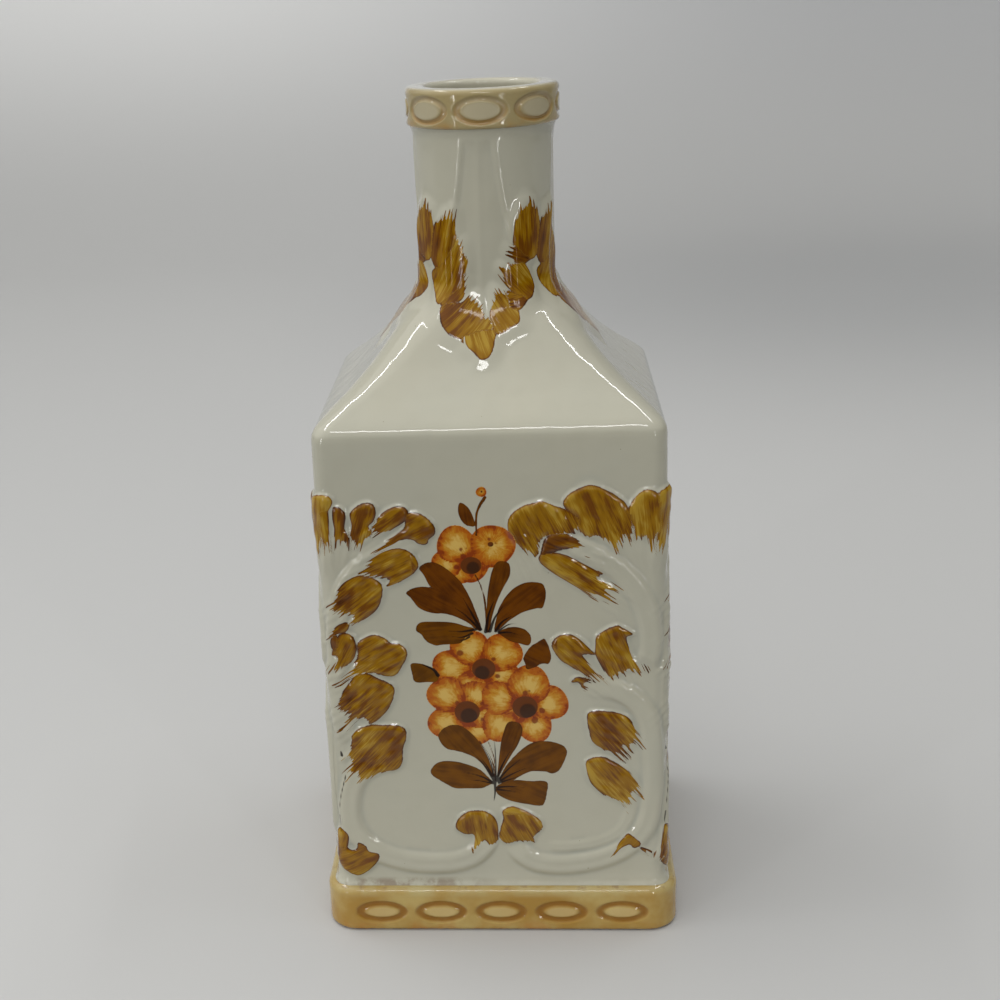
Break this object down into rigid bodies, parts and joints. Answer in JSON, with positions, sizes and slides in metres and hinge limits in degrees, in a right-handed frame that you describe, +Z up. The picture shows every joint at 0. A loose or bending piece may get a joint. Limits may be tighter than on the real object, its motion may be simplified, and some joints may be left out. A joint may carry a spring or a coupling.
{
  "type": "ceramic decanter",
  "caption": "Square glazed ceramic decanter: hollow body on a moulded plinth, pyramid shoulder, round neck with a ringed mouth, scroll and leaf relief on each side.",
  "frame": {"origin": "centre of the foot ring's underside, on the surface the decanter stands on", "axes": "+Z up along the neck; the side seen in the picture faces -Y; +X is to the right of someone facing that side"},
  "size_m": [0.1078, 0.1024, 0.25],
  "materials": {
    "white_glaze": "gloss",
    "honey_glaze": "gloss",
    "ivory_glaze": "gloss",
    "ochre_glaze": "gloss"
  },
  "bodies": {
    "root": {"vessel": "white_glaze", "plinth": "honey_glaze", "mouth_collar": "ivory_glaze", "left_acanthus_front": "ochre_glaze", "left_acanthus_right": "ochre_glaze", "left_acanthus_back": "ochre_glaze", "left_acanthus_left": "ochre_glaze", "left_scroll_front": "ochre_glaze", "left_scroll_right": "ochre_glaze", "left_scroll_back": "ochre_glaze", "left_scroll_left": "ochre_glaze", "right_acanthus_front": "ochre_glaze", "right_acanthus_right": "ochre_glaze", "right_acanthus_back": "ochre_glaze", "right_acanthus_left": "ochre_glaze", "right_scroll_front": "ochre_glaze", "right_scroll_right": "ochre_glaze", "right_scroll_back": "ochre_glaze", "right_scroll_left": "ochre_glaze", "centre_shell_front": "ochre_glaze", "centre_shell_right": "ochre_glaze", "centre_shell_back": "ochre_glaze", "centre_shell_left": "ochre_glaze", "neck_garland_front": "ochre_glaze", "neck_garland_right": "ochre_glaze", "neck_garland_back": "ochre_glaze", "neck_garland_left": "ochre_glaze"}
  },
  "joints": []
}
